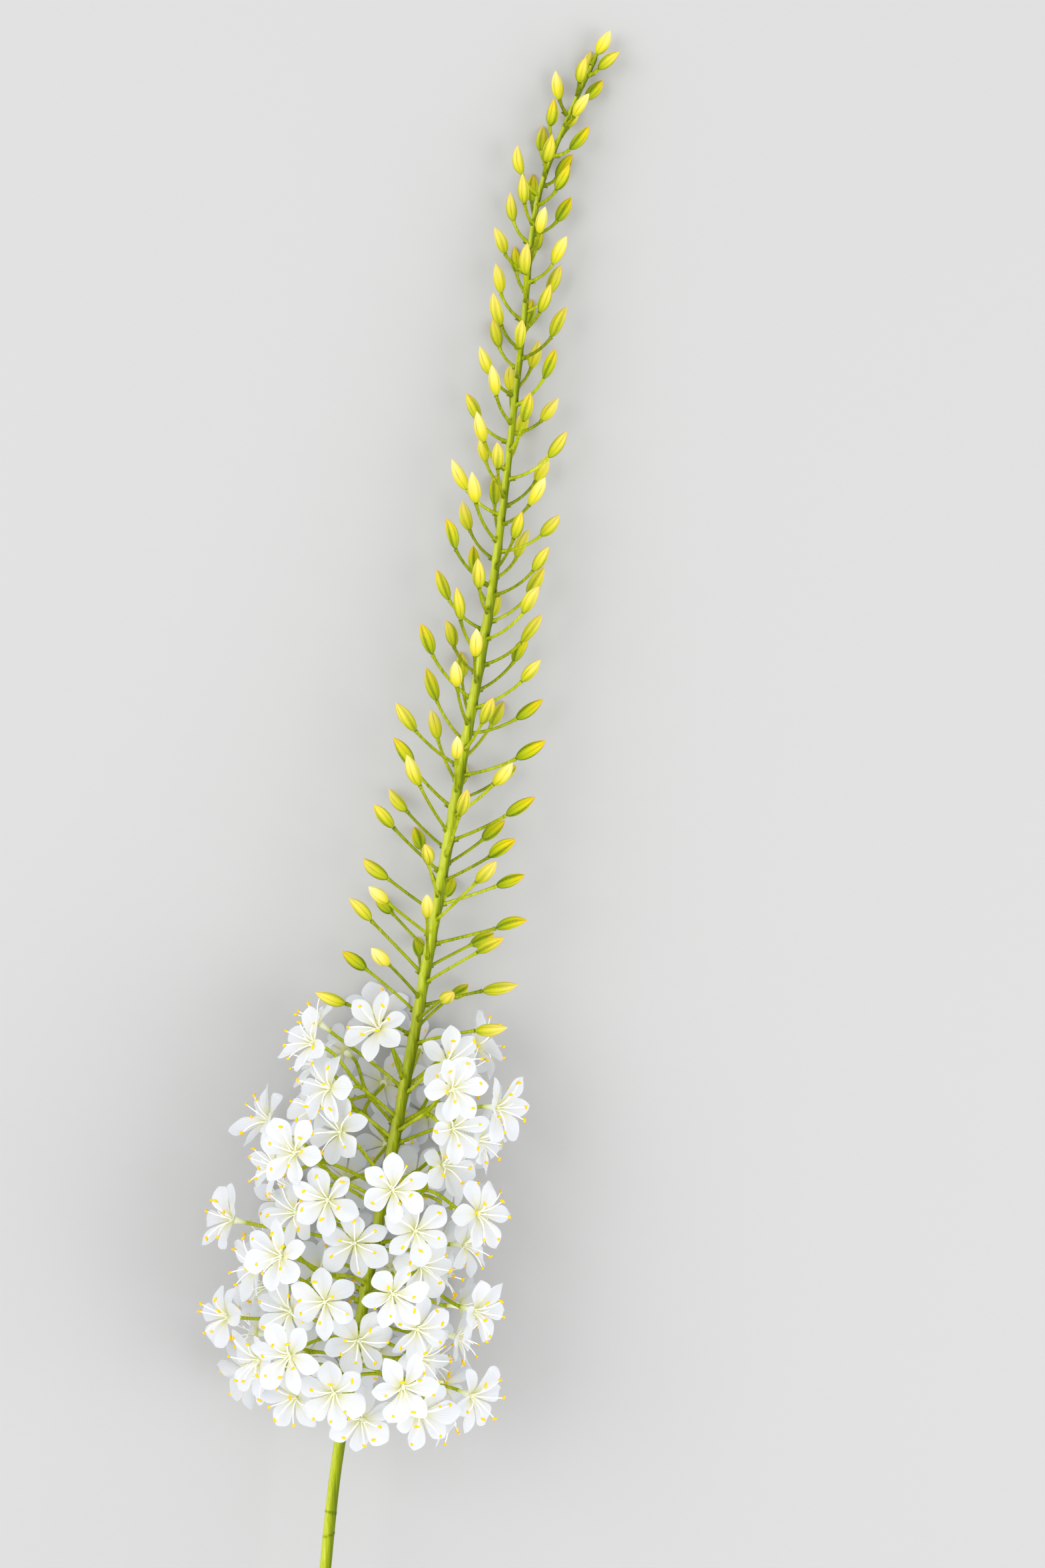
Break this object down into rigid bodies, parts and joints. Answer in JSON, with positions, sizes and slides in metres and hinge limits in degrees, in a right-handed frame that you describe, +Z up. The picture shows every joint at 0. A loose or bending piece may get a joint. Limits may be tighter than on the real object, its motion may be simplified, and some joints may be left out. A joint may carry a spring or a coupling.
{
  "type": "flower spike",
  "caption": "Cut foxtail lily flower spike lying on its flowers: a leaning stem, open six-petalled flowers on its lower part and pointed buds on stalks up to its tip.",
  "frame": {"origin": "on the surface that the spike lies on, under the middle of its box", "axes": "+Z straight up from the surface, +Y along the spike from its cut end to its tip, +X across it, to the right as it is looked down on"},
  "size_m": [0.1788, 0.7502, 0.1085],
  "materials": {
    "stem_green": "satin",
    "petal_white": "matte"
  },
  "bodies": {
    "root": {"flower_17": "petal_white", "flower_18": "petal_white", "flower_19": "petal_white", "flower_20": "petal_white", "flower_21": "petal_white", "flower_22": "petal_white", "flower_23": "petal_white", "flower_24": "petal_white", "flower_41": "petal_white", "flower_42": "petal_white", "flower_43": "petal_white", "flower_44": "petal_white", "flower_45": "petal_white", "flower_46": "petal_white", "flower_47": "petal_white", "flower_48": "petal_white", "flower_81": "petal_white", "flower_82": "petal_white", "flower_83": "petal_white", "flower_84": "petal_white", "flower_85": "petal_white", "flower_86": "petal_white", "flower_pair_01": "petal_white", "flower_pair_02": "petal_white", "flower_pair_03": "petal_white", "flower_pair_04": "petal_white", "flower_pair_05": "petal_white", "flower_pair_06": "petal_white", "flower_pair_07": "petal_white", "flower_pair_08": "petal_white", "flower_pair_25": "petal_white", "flower_pair_26": "petal_white", "flower_pair_27": "petal_white", "flower_pair_28": "petal_white", "flower_pair_29": "petal_white", "flower_pair_30": "petal_white", "flower_pair_31": "petal_white", "flower_pair_32": "petal_white", "flower_pair_49": "petal_white", "flower_pair_50": "petal_white", "flower_pair_51": "petal_white", "flower_pair_52": "petal_white", "flower_pair_53": "petal_white", "flower_pair_54": "petal_white", "flower_pair_55": "petal_white", "flower_pair_56": "petal_white", "flower_pair_65": "petal_white", "flower_pair_66": "petal_white", "flower_pair_67": "petal_white", "flower_pair_68": "petal_white", "flower_pair_69": "petal_white", "flower_pair_70": "petal_white", "flower_pair_71": "petal_white", "flower_pair_72": "petal_white", "stem_with_buds": "stem_green"}
  },
  "joints": []
}
